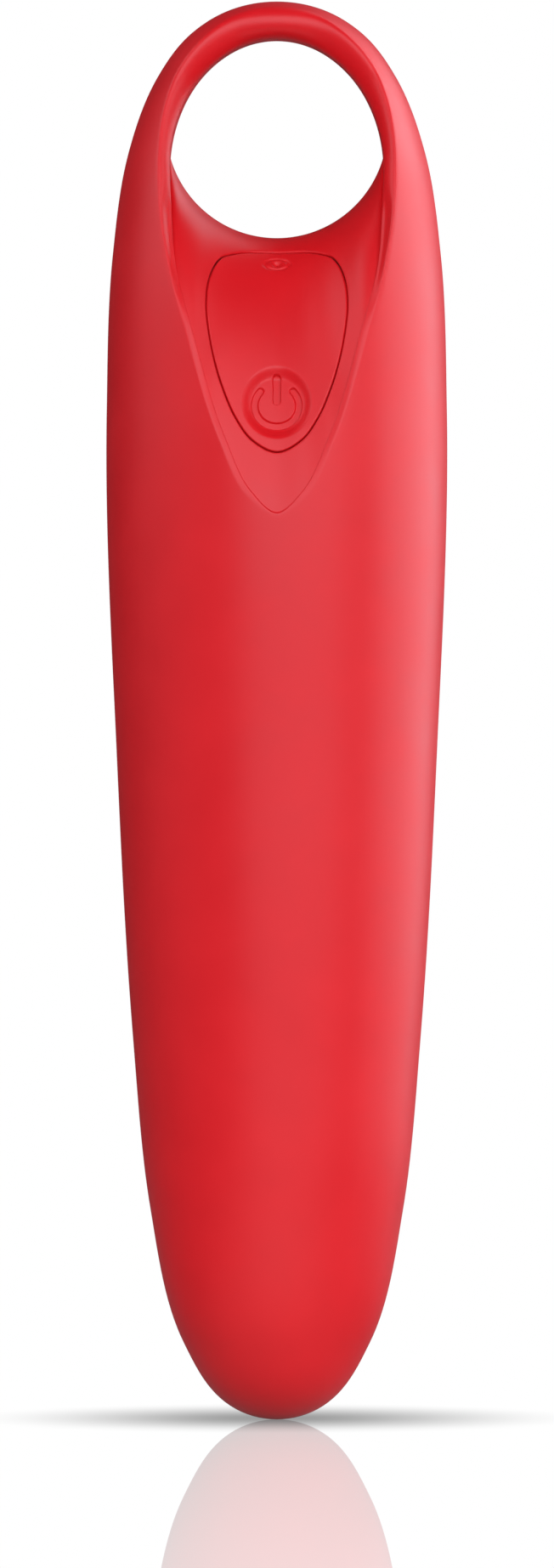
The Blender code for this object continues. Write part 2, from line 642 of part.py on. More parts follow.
def leads():
    behind = LEAD_RING / math.sqrt(2)
    for side, hand, colour in ((-1, "left", BLACK), (1, "right", RED)):
        route = [
            (side * 0.0047, 0.0, 0.0415), (side * 0.0062, 0.0028, 0.0428), (side * behind, behind, 0.048),
            (side * behind, behind, 0.066), (side * behind, behind, 0.083), (side * 0.0050, 0.0012, 0.0897),
        ]
        lead(f"motor_lead_{hand}", route, colour)
    route = [(0.0, 0.0, 0.0828), (0.0002, 0.0006, 0.0845), (0.0008, 0.0008, 0.0870), (0.0008, -0.0018, 0.0888)]
    lead("battery_lead_positive", route, RED)
    route = [
        (-0.0012, 0.0012, 0.0429), (-0.0020, 0.0052, 0.0426), (-0.0034, 0.0082, 0.0455),
        (-0.0038, 0.0082, 0.062), (-0.0038, 0.0082, 0.082), (-0.0026, 0.0030, 0.0885),
    ]
    lead("battery_lead_negative", route, BLACK)


KEY_FRAME = empty("key_frame", (0.0, -valley(BUTTON_Z), BUTTON_Z), valley_tilt(BUTTON_Z))
PORT_FRAME = empty("port_frame", (0.0, -valley(PORT_Z), PORT_Z), valley_tilt(PORT_Z))
skin_and_panel()
key_parts()
board_parts()
charging_parts()
shells()
cell_parts()
motor_parts()
rotor_parts()
clamp()
leads()
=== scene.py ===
"""Looks of a handheld massager with a finger loop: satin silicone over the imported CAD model.

Metres, +Z up, in the CAD frame: the origin is the rounded tip and the control panel faces -Y.
"""

import math

import bmesh
import bpy
import numpy as np
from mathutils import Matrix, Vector


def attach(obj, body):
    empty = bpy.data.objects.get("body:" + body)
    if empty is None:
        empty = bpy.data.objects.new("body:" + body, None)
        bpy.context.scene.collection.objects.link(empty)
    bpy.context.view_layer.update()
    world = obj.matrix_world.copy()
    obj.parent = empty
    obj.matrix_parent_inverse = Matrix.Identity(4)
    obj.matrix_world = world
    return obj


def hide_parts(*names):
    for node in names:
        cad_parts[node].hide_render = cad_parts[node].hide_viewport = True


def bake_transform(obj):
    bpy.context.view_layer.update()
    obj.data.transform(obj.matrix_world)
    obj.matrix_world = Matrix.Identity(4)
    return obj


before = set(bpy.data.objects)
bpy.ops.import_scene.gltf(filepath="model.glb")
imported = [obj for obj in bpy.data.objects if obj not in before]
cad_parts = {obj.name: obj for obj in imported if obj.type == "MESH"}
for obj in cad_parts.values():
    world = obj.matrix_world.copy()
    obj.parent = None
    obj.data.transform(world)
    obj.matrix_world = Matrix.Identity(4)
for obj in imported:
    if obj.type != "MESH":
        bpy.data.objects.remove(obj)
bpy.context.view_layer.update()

# Outer form: half-widths of the round body at heights above the tip, as in the CAD model.
LENGTH = 0.135
STATIONS = np.array([
    (0.0, 0.0), (0.0073, 0.00886), (0.0202, 0.01206), (0.0364, 0.0137), (0.0623, 0.0152), (0.096, 0.0162),
    (0.1109, 0.01562), (0.1206, 0.01412), (0.1279, 0.01129), (0.1321, 0.00797), (LENGTH, 0.0),
])
TIP_RADIUS = 0.0084
TOP_RADIUS = 0.013

# Finger hole: a round lower edge and an elliptical upper edge that meet in two corners.
HOLE_RADIUS = 0.01052
HOLE_CENTRE_Z = 0.123
CORNER_ANGLE = math.radians(74.5)
CORNER = (HOLE_RADIUS * math.sin(CORNER_ANGLE), HOLE_CENTRE_Z - HOLE_RADIUS * math.cos(CORNER_ANGLE))
UPPER_CENTRE_Z = 0.11897
UPPER_HALF_HEIGHT = 0.01234

# Rim of the scoop from the V's tip up the right side: where it leaves the outer form, and its inner foot.
RIM_OUTER = [
    (0.0, 0.08545), (0.0030, 0.0878), (0.00552, 0.0931), (0.0086, 0.1028), (0.01042, 0.1101),
    (0.01118, 0.1149), (0.01135, 0.1186), (0.01129, 0.1206), (0.01054, 0.12545), (0.00963, 0.12788),
    (0.0073, 0.1311), (0.0039, 0.1336), (0.0, 0.1344),
]
RIM_FOOT = [
    (0.0, 0.0861), (0.00248, 0.0882), (0.00495, 0.0934), (0.00786, 0.1030), (0.00965, 0.1101),
    (0.00999, 0.1149), (0.01014, 0.1186), CORNER,
]
CORNER_STATION = 7

# Scoop's floor: how far its foot lies under the outer form at the V's tip, how much more by a share of the
# rim, and how the foot falls away from there to the hole's corners.
FLOOR_DROP, FLOOR_DROP_MORE, FLOOR_DROP_BY = 0.00012, 0.00045, 0.25
WALL_FROM_Z = 0.1035
WALL_POWER = 0.7
VALLEY_BULGE = 0.15

# Rounded rim: its reach inwards as a share of its width, with the cut at the crest; how softly its straight
# wall begins and the height that makes one; the share of the floor that gives its slope; where the crest
# begins; and each handle's share of the gap, with its growth at the crest.
ROUND_REACH, REACH_CUT = 1.2, 0.8
WALL_BLEND = 0.0005
TALL_WALL = 0.0045
NEAR_FOOT = 0.985
CREST_FROM = 0.86
HANDLE_IN, HANDLE_IN_GROWTH = 0.32, 0.48
HANDLE_OUT, HANDLE_OUT_GROWTH = 0.28, 0.27

# Outer skin: between these shares of the rim its rows turn from going round the body to lying flat.
FLAT_FROM, FLAT_TO = 0.5, 0.8

# Control panel outline from the bottom up its right side, half the seam's width, and the edges' rounding.
PANEL = [
    (0.0, 0.0919), (0.0024, 0.0931), (0.0039, 0.0952), (0.0050, 0.0977), (0.0059, 0.1007), (0.0064, 0.1033),
    (0.00665, 0.1059), (0.0064, 0.1083), (0.0059, 0.1096), (0.0052, 0.1105), (0.0043, 0.1108), (0.0, 0.1110),
]
PANEL_SIDE_SHARES = (0.62, 0.80)
SEAM_HALF = 0.00006
EDGE_ROLL = 0.00014
POCKET_DEPTH = 0.00185
PANEL_THICKNESS = 0.0015

# Key: a soft dish in the panel, with a power mark cut into it. Its places are on the front view.
KEY_Z = 0.0966
KEY_REACH = 0.0038
DISH_FLAT, DISH_EDGE, DISH_HIGH = 0.0023, 0.0034, 1.04
DISH_DEPTH = 0.0006
KEY_THICKNESS = 0.0007
MARK_Z = 0.09650
MARK_RADIUS, MARK_HALF, MARK_GAP = 0.001985, 0.000325, math.radians(46)
BAR_LOW, BAR_HIGH, BAR_HALF = 0.09690, 0.09912, 0.00031
MARK_DEPTH, MARK_WALL = 0.0003, 0.00004

# Charging mark: an oval track round a dimple, on the front view.
PORT_Z = 0.10985
PORT_HALF = (0.0014, 0.00062)
PORT_TRACK, PORT_TRACK_WIDTH, PORT_TRACK_DEPTH = 0.8, 0.15, 0.00012
PORT_DIMPLE = (0.0006, 0.00042)
PORT_DIMPLE_DEPTH = 0.00028

# Mesh density. Columns along the rim crowd towards the V's tip, and directions round the key towards the
# charging mark.
SCOOP_COLUMNS = 110
COLUMN_CROWDING = 1.25
CORNER_COLUMNS = 14
LOOP_COLUMNS = 54
SHOULDER_COLUMNS = 55
SHOULDER_Z = 0.080
FLOOR_ROWS = 40
WALL_ROWS = 10
ROUND_ROWS = 10
SKIN_ROWS = 34
LOWER_ROWS = 70
POCKET_SHARES = (0.0, 0.25, 0.5, 0.75, 0.95)
POCKET_ROWS = 6
EDGE_ROWS = 8
TOP_COLUMNS, SIDE_COLUMNS = 72, 192
TOP_SECTOR = math.radians(7.6)
PANEL_COARSE_ROWS, PANEL_FINE_ROWS, PANEL_FINE_FROM = 30, 62, 0.72
PANEL_SIDE_ROWS, PANEL_UNDER_ROWS = 4, 8
KEY_ROWS, KEY_SIDE_ROWS, KEY_UNDER_ROWS = 85, 3, 12

# Precision: samples of the outlines, halvings of a search, and the distances under which points are one.
OUTLINE_SAMPLES, PANEL_SAMPLES = 800, 2001
HALVINGS = 27
MERGE, DEGENERATE = 2e-6, 1e-7

# Surface detail: the range that a noise mostly fills, the broad pattern's size against the grain's, how far
# roughness strays, and the grain's height on plain parts and on foam.
PATTERN_LOW, PATTERN_HIGH = 0.3, 0.7
BROAD_TO_GRAIN = 25
ROUGHNESS_SPREAD = 0.025
PLAIN_GRAIN, FOAM_GRAIN = 3e-6, 4e-5


def half_width_squared(z):
    """The square of the round body's radius at heights z: cubics between the stations."""
    heights, squares = STATIONS[:, 0], STATIONS[:, 1] ** 2
    slopes = np.gradient(squares, heights)
    slopes[0], slopes[-1] = 2 * TIP_RADIUS, -2 * TOP_RADIUS
    z = np.asarray(z, float)
    k = np.clip(np.searchsorted(heights, z) - 1, 0, len(heights) - 2)
    step = heights[k + 1] - heights[k]
    t = (z - heights[k]) / step
    square = (2 * t**3 - 3 * t**2 + 1) * squares[k] + (t**3 - 2 * t**2 + t) * step * slopes[k]
    return square + (3 * t**2 - 2 * t**3) * squares[k + 1] + (t**3 - t**2) * step * slopes[k + 1]


def depth_of(x, z):
    """Depth of the outer form in front of the axis."""
    return np.sqrt(np.maximum(half_width_squared(z) - np.asarray(x) ** 2, 0.0))


def smoothstep(low, high, value):
    t = np.clip((value - low) / (high - low), 0.0, 1.0)
    return t * t * (3 - 2 * t)


def unit(vectors):
    return vectors / np.maximum(np.linalg.norm(vectors, axis=-1, keepdims=True), 1e-12)


def chord_marks(points):
    steps = np.linalg.norm(np.diff(np.array(points), axis=0), axis=1)
    return np.concatenate([[0.0], np.cumsum(steps)]) / steps.sum()


def spline(marks, points, at):
    """Cubic curve through the points at their marks, with slopes from the neighbours on both sides."""
    points = np.array(points, float)
    slopes = np.gradient(points, marks, axis=0)
    k = np.clip(np.searchsorted(marks, at, side="right") - 1, 0, len(marks) - 2)
    step = (marks[k + 1] - marks[k])[:, None]
    t = (at - marks[k])[:, None] / step
    made = (2 * t**3 - 3 * t**2 + 1) * points[k] + (t**3 - 2 * t**2 + t) * step * slopes[k]
    return made + (3 * t**2 - 2 * t**3) * points[k + 1] + (t**3 - t**2) * step * slopes[k + 1]


def level_curve(half, at):
    """The curve through half an outline at shares of its length, which crosses x = 0 level at both ends."""
    marks = chord_marks(half)
    first, last = (-half[1][0], half[1][1]), (-half[-2][0], half[-2][1])
    marks = np.concatenate([[-marks[1]], marks, [2 - marks[-2]]])
    return spline(marks, [first] + list(half) + [last], at)


MARKS = chord_marks(RIM_OUTER)
CORNER_MARK = MARKS[CORNER_STATION]
SCOOP_T = CORNER_MARK * np.linspace(0.0, 1.0, SCOOP_COLUMNS + 1) ** COLUMN_CROWDING
RIM_T = np.concatenate([SCOOP_T, np.linspace(CORNER_MARK, 1.0, LOOP_COLUMNS + 1)[1:]])
SHOULDER_T = SCOOP_T[SHOULDER_COLUMNS]


def rim_foot(t):
    """Foot of the rim below the hole's corners, and the hole's upper edge above them."""
    marks = np.concatenate([[-MARKS[1]], MARKS[: CORNER_STATION + 1], [MARKS[CORNER_STATION + 1]]])
    after = 2 * np.array(RIM_FOOT[-1]) - np.array(RIM_FOOT[-2])
    points = [(-RIM_FOOT[1][0], RIM_FOOT[1][1])] + RIM_FOOT + [tuple(after)]
    low = spline(marks, points, np.minimum(t, CORNER_MARK))
    start = math.asin((CORNER[1] - UPPER_CENTRE_Z) / UPPER_HALF_HEIGHT)
    angle = start + (math.pi / 2 - start) * np.clip((t - CORNER_MARK) / (1 - CORNER_MARK), 0.0, 1.0)
    wide = CORNER[0] / math.cos(start)
    high = np.stack([wide * np.cos(angle), UPPER_CENTRE_Z + UPPER_HALF_HEIGHT * np.sin(angle)], axis=1)
    return np.where((t <= CORNER_MARK)[:, None], low, high)


def ridge(t):
    """The hole's lower edge, in step with the rim up to the corner."""
    angle = CORNER_ANGLE * np.clip(t / CORNER_MARK, 0.0, 1.0)
    return np.stack([HOLE_RADIUS * np.sin(angle), HOLE_CENTRE_Z - HOLE_RADIUS * np.cos(angle)], axis=1)


def foot_depth(t):
    """Depth of the floor's foot: just under the outer form low down, falling to 0 at the hole's corners."""
    foot = rim_foot(np.minimum(t, CORNER_MARK))
    drop = FLOOR_DROP + FLOOR_DROP_MORE * smoothstep(0.0, FLOOR_DROP_BY, t)
    wall = np.clip((foot[:, 1] - WALL_FROM_Z) / (CORNER[1] - WALL_FROM_Z), 0.0, 1.0) ** 2.0
    depth = (depth_of(foot[:, 0], foot[:, 1]) - drop) * (1 - wall) ** WALL_POWER
    return np.where(t < CORNER_MARK, depth, 0.0)


def fall(u):
    """Depth of the scoop's floor as a share of its foot's: u is 0 at the hole's edge and 1 at the foot."""
    return np.sqrt(u) * (1 + VALLEY_BULGE * (1 - u))


def floor_points(t, share):
    """Points on the scoop's floor between the hole's edge, share 0, and the rim's foot, share 1."""
    near = ridge(t)
    flat = near + (rim_foot(t) - near) * (np.ones_like(t) * share)[:, None] ** 2
    return np.stack([flat[:, 0], -foot_depth(t) * fall((np.ones_like(t) * share) ** 2), flat[:, 1]], axis=1)


def floor_place(x, z):
    """Where points of the front view lie on the floor: t along the rim, share from the hole to the foot."""
    x, z = np.abs(np.ravel(x)), np.ravel(z)
    low, high = np.zeros(len(x)), np.full(len(x), CORNER_MARK)
    for _ in range(HALVINGS):
        t = (low + high) / 2
        near = ridge(t)
        span = rim_foot(t) - near
        beyond = span[:, 0] * (z - near[:, 1]) - span[:, 1] * (x - near[:, 0]) > 0
        low, high = np.where(beyond, t, low), np.where(beyond, high, t)
    along = (x - near[:, 0]) * span[:, 0] + (z - near[:, 1]) * span[:, 1]
    u = np.clip(along / np.maximum((span**2).sum(axis=1), 1e-12), 0.0, 1.0)
    return t, np.sqrt(u)


def floor_depth(x, z):
    """Depth of the scoop's floor in front of the axis at points of the front view."""
    t, share = floor_place(x, z)
    return foot_depth(t) * fall(share**2)


def on_floor(flat, sunk=0.0):
    """Points of the floor over points (x, z) of the front view, sunk along the floor's normal."""
    shape = flat.shape[:-1]
    x, z = flat[..., 0].ravel(), flat[..., 1].ravel()
    step = 2e-5
    depth = floor_depth(x, z)
    across = (floor_depth(x + step, z) - floor_depth(x - step, z)) / (2 * step)
    up = (floor_depth(x, z + step) - floor_depth(x, z - step)) / (2 * step)
    normal = unit(np.stack([-across, -np.ones(len(x)), -up], axis=1))
    points = np.stack([x, -depth, z], axis=1) - normal * np.broadcast_to(sunk, shape).reshape(-1, 1)
    return points.reshape(*shape, 3)


def roll_drop(from_edge):
    """Drop of a rounded edge at a distance in from it."""
    left = np.clip(1 - from_edge / EDGE_ROLL, 0.0, 1.0)
    return EDGE_ROLL * (1 - np.sqrt(1 - left**2))


def rim_line(t):
    """The rim's outer line, on the outer form."""
    flat = level_curve(RIM_OUTER, t)
    return np.stack([flat[:, 0], -depth_of(flat[:, 0], flat[:, 1]), flat[:, 1]], axis=1)


def foot_line(t):
    """The rim's foot, on the floor's border."""
    flat = rim_foot(t)
    return np.stack([flat[:, 0], -foot_depth(t), flat[:, 1]], axis=1)


def tangent(line, t):
    step = 1e-4
    return unit(line(t + step) - line(t - step))


def rim_sections(t):
    """Foot, start, two handles and end of the rounded rim at each t."""
    base, end = foot_line(t), rim_line(t)
    deep = -base[:, 1]
    top = smoothstep(CORNER_MARK, 1.0, t)
    reach = np.linalg.norm((end - base)[:, [0, 2]], axis=1) * (ROUND_REACH - REACH_CUT * top)
    over = -end[:, 1] - reach - deep
    start = base.copy()
    start[:, 1] -= (over + np.sqrt(over**2 + WALL_BLEND**2)) / 2
    along = tangent(foot_line, t)
    floor_way = unit(np.cross(np.cross(along, base - floor_points(t, NEAR_FOOT)), along))
    tall = smoothstep(0.0, TALL_WALL, -start[:, 1] - deep)
    tall = np.where(t >= CORNER_MARK, 1.0, tall)[:, None]
    way_in = unit(floor_way * (1 - tall) + np.array((0.0, -1.0, 0.0)) * tall)
    step = 1e-6
    grade = (half_width_squared(end[:, 2] + step) - half_width_squared(end[:, 2] - step)) / (2 * step)
    out_normal = unit(np.stack([2 * end[:, 0], 2 * end[:, 1], -grade], axis=1))
    way_out = unit(np.cross(out_normal, tangent(rim_line, t)))
    way_out *= np.sign((way_out * (end - base))[:, [0, 2]].sum(axis=1))[:, None]
    gap = np.linalg.norm(end - start, axis=1)[:, None]
    crest = smoothstep(CREST_FROM, 1.0, t)[:, None]
    handle_in = start + way_in * gap * (HANDLE_IN + HANDLE_IN_GROWTH * crest)
    handle_out = end - way_out * gap * (HANDLE_OUT + HANDLE_OUT_GROWTH * crest)
    return base, start, handle_in, handle_out, end


def outline_at(share):
    """(x, z) on the outline from the shoulder, 0, to the top, 1, evenly spaced in length."""
    z = SHOULDER_Z + (LENGTH - SHOULDER_Z) * np.sin(np.linspace(0.0, math.pi / 2, OUTLINE_SAMPLES))
    x = np.sqrt(np.maximum(half_width_squared(z), 0.0))
    x[-1] = 0.0
    length = np.concatenate([[0.0], np.cumsum(np.hypot(np.diff(x), np.diff(z)))])
    return np.stack([np.interp(share * length[-1], length, line) for line in (x, z)], axis=1)


def skin_rows(t, end, shares):
    """Rows on the outer form, from the rim to the shoulder line low down and to the outline higher up."""
    rim = end[:, [0, 2]]
    rim_turn = np.arctan2(rim[:, 0], -end[:, 1])
    goal = outline_at(np.clip((t - SHOULDER_T) / (1 - SHOULDER_T), 0.0, 1.0))
    goal_turn = np.clip(t / SHOULDER_T, 0.0, 1.0) * math.pi / 2
    flat_share = smoothstep(FLAT_FROM, FLAT_TO, t)[:, None]
    rows = []
    for share in shares:
        angle = rim_turn + (goal_turn - rim_turn) * share
        height = rim[:, 1] + (goal[:, 1] - rim[:, 1]) * share
        round_way = np.stack([np.sqrt(half_width_squared(height)) * np.sin(angle), height], axis=1)
        flat_way = goal + (rim - goal) * (1 - share) ** 2
        flat = round_way * (1 - flat_share) + flat_way * flat_share
        row = np.stack([flat[:, 0], -depth_of(flat[:, 0], flat[:, 1]), flat[:, 1]], axis=1)
        if share == 1:
            row[t >= SHOULDER_T, 1] = 0.0
        rows.append(row)
    return np.array(rows)


def bezier(start, handle_a, handle_b, end, share):
    a = 1 - share
    return a**3 * start + 3 * a**2 * share * handle_a + 3 * a * share**2 * handle_b + share**3 * end


def rim_and_skin():
    """Rows of the right front quarter from the floor's foot over the rim to the shoulder and the outline."""
    base, start, handle_a, handle_b, end = rim_sections(RIM_T)
    wall = [base + (start - base) * k / WALL_ROWS for k in range(WALL_ROWS)]
    rounded = [bezier(start, handle_a, handle_b, end, k / ROUND_ROWS) for k in range(ROUND_ROWS)]
    return wall + rounded + list(skin_rows(RIM_T, end, np.linspace(0.0, 1.0, SKIN_ROWS + 1)))


def lower_rows():
    """The body below the shoulder, front right quarter."""
    turn = SCOOP_T[: SHOULDER_COLUMNS + 1] / SHOULDER_T * math.pi / 2
    rows = []
    for angle in np.linspace(0.0, math.pi / 2, LOWER_ROWS + 1):
        z = SHOULDER_Z * (1 - math.sin(angle))
        radius = math.sqrt(max(float(half_width_squared(z)), 0.0))
        rows.append(np.stack([radius * np.sin(turn), -radius * np.cos(turn), np.full(len(turn), z)], axis=1))
    return rows


def panel_outline(shares, grow):
    """The panel's outline at shares of its right half, moved out by grow."""
    step = 1e-3
    points = level_curve(PANEL, shares)
    along = unit(level_curve(PANEL, shares + step) - level_curve(PANEL, shares - step))
    return points + np.stack([along[:, 1], -along[:, 0]], axis=1) * grow


def scoop_rows():
    """Rows of the front floor's right half, from the bottom of the panel's pocket to the rim and the hole."""
    up = SCOOP_T / CORNER_MARK
    first, second = PANEL_SIDE_SHARES
    corner = np.linspace(first, second, CORNER_COLUMNS + 1)[1:-1]
    shares = np.concatenate([up * first, corner, (1 - (1 - second) * up)[::-1]])
    side = np.full(CORNER_COLUMNS - 1, CORNER_MARK)
    border_t = np.concatenate([SCOOP_T, side, SCOOP_T[::-1]])
    from_foot = np.linspace(1, 0, CORNER_COLUMNS + 1)[1:-1]
    border_share = np.concatenate([np.ones(len(up)), from_foot, np.zeros(len(up))])
    middle = np.array((0.0, (PANEL[0][1] + PANEL[-1][1]) / 2))
    seam = panel_outline(shares, SEAM_HALF)
    rows = [on_floor(middle + (seam - middle) * share, POCKET_DEPTH) for share in POCKET_SHARES]
    for k in range(POCKET_ROWS):
        rows.append(on_floor(seam, POCKET_DEPTH + (EDGE_ROLL - POCKET_DEPTH) * k / POCKET_ROWS))
    for distance in EDGE_ROLL * (1 - np.cos(np.linspace(0.0, math.pi / 2, EDGE_ROWS))):
        flat = panel_outline(shares, SEAM_HALF + distance)
        rows.append(on_floor(flat, roll_drop(distance)))
    start_t, start_share = floor_place(flat[:, 0], flat[:, 1])
    for way in np.linspace(0.0, 1.0, FLOOR_ROWS + 1)[1:]:
        t = start_t + (border_t - start_t) * way
        rows.append(floor_points(t, start_share + (border_share - start_share) * way))
    return rows


def add_grid(shape, rows, sharp=(), closed=False):
    """Adds rows of points and their quads to a bmesh. Rows named in sharp keep a crisp edge."""
    made = [[shape.verts.new(point) for point in row] for row in rows]
    count = len(made[0])
    for low, high in zip(made, made[1:]):
        for k in range(count if closed else count - 1):
            n = (k + 1) % count
            shape.faces.new((low[k], low[n], high[n], high[k]))
    for number in sharp:
        row = made[number]
        for k in range(count if closed else count - 1):
            shape.edges.get((row[k], row[(k + 1) % count])).smooth = False


def mirror(shape, axis):
    made = bmesh.ops.duplicate(shape, geom=shape.verts[:] + shape.edges[:] + shape.faces[:])["geom"]
    for vert in [item for item in made if isinstance(item, bmesh.types.BMVert)]:
        vert.co[axis] = -vert.co[axis]


def finish_mesh(name, shape, look):
    bmesh.ops.remove_doubles(shape, verts=shape.verts, dist=MERGE)
    bmesh.ops.dissolve_degenerate(shape, edges=shape.edges, dist=DEGENERATE)
    bmesh.ops.recalc_face_normals(shape, faces=shape.faces)
    mesh = bpy.data.meshes.new(name)
    shape.to_mesh(mesh)
    shape.free()
    for face in mesh.polygons:
        face.use_smooth = True
    mesh.materials.append(look)
    obj = bpy.data.objects.new(name, mesh)
    bpy.context.scene.collection.objects.link(obj)
    return obj


def sleeve(look):
    """The silicone body with both scoops; the front one has the panel's pocket."""
    shape = bmesh.new()
    add_grid(shape, rim_and_skin())
    add_grid(shape, lower_rows())
    mirror(shape, 1)
    shares = np.linspace(0.0, 1.0, FLOOR_ROWS + 1)
    add_grid(shape, [floor_points(SCOOP_T, share) * (1, -1, 1) for share in shares])
    add_grid(shape, scoop_rows())
    mirror(shape, 0)
    made = finish_mesh("sleeve_skin", shape, look)
    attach(made, "housing")
    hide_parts("silicone_sleeve")


def turns():
    """Directions round the key, anticlockwise from straight up, closer together towards the charging mark."""
    top = np.linspace(-TOP_SECTOR, TOP_SECTOR, TOP_COLUMNS, endpoint=False)
    side = np.linspace(TOP_SECTOR, 2 * math.pi - TOP_SECTOR, SIDE_COLUMNS, endpoint=False)
    return np.concatenate([top, side])


def around(radius):
    """Points of the front view at a radius, or one for each direction, from the key's centre."""
    angle = turns()
    return np.stack([radius * np.sin(angle), KEY_Z + radius * np.cos(angle)], axis=1)


def panel_radius():
    """The panel's outline as a distance from the key's centre in each direction."""
    fine = np.linspace(0.0, 1.0, PANEL_SAMPLES)
    right = panel_outline(fine, -SEAM_HALF)
    angle = np.arctan2(right[:, 0], right[:, 1] - KEY_Z)[::-1]
    size = np.hypot(right[:, 0], right[:, 1] - KEY_Z)[::-1]
    wrapped = np.abs((turns() + math.pi) % (2 * math.pi) - math.pi)
    return np.interp(wrapped, angle, size)


def dish(flat):
    x, z = flat[..., 0], (flat[..., 1] - KEY_Z) / DISH_HIGH
    return DISH_DEPTH * (1 - smoothstep(DISH_FLAT, DISH_EDGE, np.hypot(x, z)))


def power_mark(flat):
    """Depth of the power mark: an open ring and a bar, both with round ends."""
    x, z = flat[..., 0], flat[..., 1] - MARK_Z
    radius, angle = np.hypot(x, z), np.abs(np.arctan2(x, z))
    tip = MARK_RADIUS * np.array((math.sin(MARK_GAP), math.cos(MARK_GAP)))
    ring = np.where(angle > MARK_GAP, np.abs(radius - MARK_RADIUS), np.hypot(np.abs(x) - tip[0], z - tip[1]))
    high = np.clip(flat[..., 1], BAR_LOW, BAR_HIGH)
    bar = np.hypot(x, flat[..., 1] - high)
    outside = np.minimum(ring - MARK_HALF, bar - BAR_HALF)
    return MARK_DEPTH * (1 - smoothstep(-MARK_WALL, MARK_WALL, outside))


def charging_mark(flat):
    x, z = flat[..., 0], flat[..., 1] - PORT_Z
    track = np.hypot(x / PORT_HALF[0], z / PORT_HALF[1])
    dimple = np.hypot(x / PORT_DIMPLE[0], z / PORT_DIMPLE[1])
    made = PORT_TRACK_DEPTH * np.exp(-(((track - PORT_TRACK) / PORT_TRACK_WIDTH) ** 2))
    return made + PORT_DIMPLE_DEPTH * (1 - smoothstep(0.0, 1.0, dimple))


def control_panel(look):
    """The panel's skin: a plate round the key with a rounded edge, and the charging mark pressed into it."""
    edge = panel_radius()
    coarse = np.linspace(0.0, PANEL_FINE_FROM, PANEL_COARSE_ROWS, endpoint=False)
    shares = np.concatenate([coarse, np.linspace(PANEL_FINE_FROM, 1.0, PANEL_FINE_ROWS)])
    inner = KEY_REACH + (edge - EDGE_ROLL - KEY_REACH) * shares[:, None]
    flats = [around(radius) for radius in inner]
    rows = [on_floor(flat, charging_mark(flat)) for flat in flats]
    for distance in EDGE_ROLL * np.cos(np.linspace(0.0, math.pi / 2, EDGE_ROWS))[1:]:
        rows.append(on_floor(around(edge - distance), roll_drop(distance)))
    lower_edge = len(rows) + PANEL_SIDE_ROWS - 1
    for k in range(1, PANEL_SIDE_ROWS + 1):
        rows.append(on_floor(around(edge), EDGE_ROLL + (PANEL_THICKNESS - EDGE_ROLL) * k / PANEL_SIDE_ROWS))
    for k in reversed(range(PANEL_UNDER_ROWS)):
        rows.append(on_floor(around(KEY_REACH + (edge - KEY_REACH) * k / PANEL_UNDER_ROWS), PANEL_THICKNESS))
    for k in reversed(range(PANEL_SIDE_ROWS)):
        rows.append(on_floor(flats[0], PANEL_THICKNESS * k / PANEL_SIDE_ROWS))
    shape = bmesh.new()
    add_grid(shape, rows, (0, lower_edge, lower_edge + PANEL_UNDER_ROWS, -1), closed=True)
    made = finish_mesh("panel_cover", shape, look)
    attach(made, "housing")
    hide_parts("control_panel")


def power_button(look):
    """The key's skin: a dished middle with the power mark cut into it, out to a border where the panel
    begins.
    """
    rows = []
    for radius in np.linspace(0.0, KEY_REACH, KEY_ROWS + 1):
        flat = around(radius)
        rows.append(on_floor(flat, dish(flat) + power_mark(flat)))
    border = around(KEY_REACH)
    for k in range(1, KEY_SIDE_ROWS + 1):
        rows.append(on_floor(border, KEY_THICKNESS * k / KEY_SIDE_ROWS))
    for radius in KEY_REACH * np.linspace(1.0, 0.0, KEY_UNDER_ROWS + 1)[1:]:
        flat = around(radius)
        rows.append(on_floor(flat, dish(flat) + KEY_THICKNESS))
    shape = bmesh.new()
    add_grid(shape, rows, (KEY_ROWS, KEY_ROWS + KEY_SIDE_ROWS), closed=True)
    made = finish_mesh("button_cover", shape, look)
    middle = np.array([(0.0, KEY_Z)])
    still, moved = on_floor(middle, DISH_DEPTH / 4)[0], on_floor(middle, DISH_DEPTH)[0]
    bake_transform(made)
    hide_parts("power_button")


def noise(nodes, links, scale, detail=3.0):
    """A noise pattern fixed to the object, with scale features in a metre."""
    place = nodes.new("ShaderNodeTexCoord")
    made = nodes.new("ShaderNodeTexNoise")
    made.inputs["Scale"].default_value = scale
    made.inputs["Detail"].default_value = detail
    links.new(place.outputs["Object"], made.inputs["Vector"])
    return made.outputs["Fac"]


def varied(nodes, links, pattern, low, high, target):
    """Drives a socket between low and high from a pattern."""
    spread = nodes.new("ShaderNodeMapRange")
    spread.inputs["From Min"].default_value = PATTERN_LOW
    spread.inputs["From Max"].default_value = PATTERN_HIGH
    spread.inputs["To Min"].default_value = low
    spread.inputs["To Max"].default_value = high
    links.new(pattern, spread.inputs["Value"])
    links.new(spread.outputs["Result"], target)


def bumped(nodes, links, pattern, shader, height):
    bump = nodes.new("ShaderNodeBump")
    bump.inputs["Strength"].default_value = 1.0
    bump.inputs["Distance"].default_value = height
    links.new(pattern, bump.inputs["Height"])
    links.new(bump.outputs["Normal"], shader.inputs["Normal"])


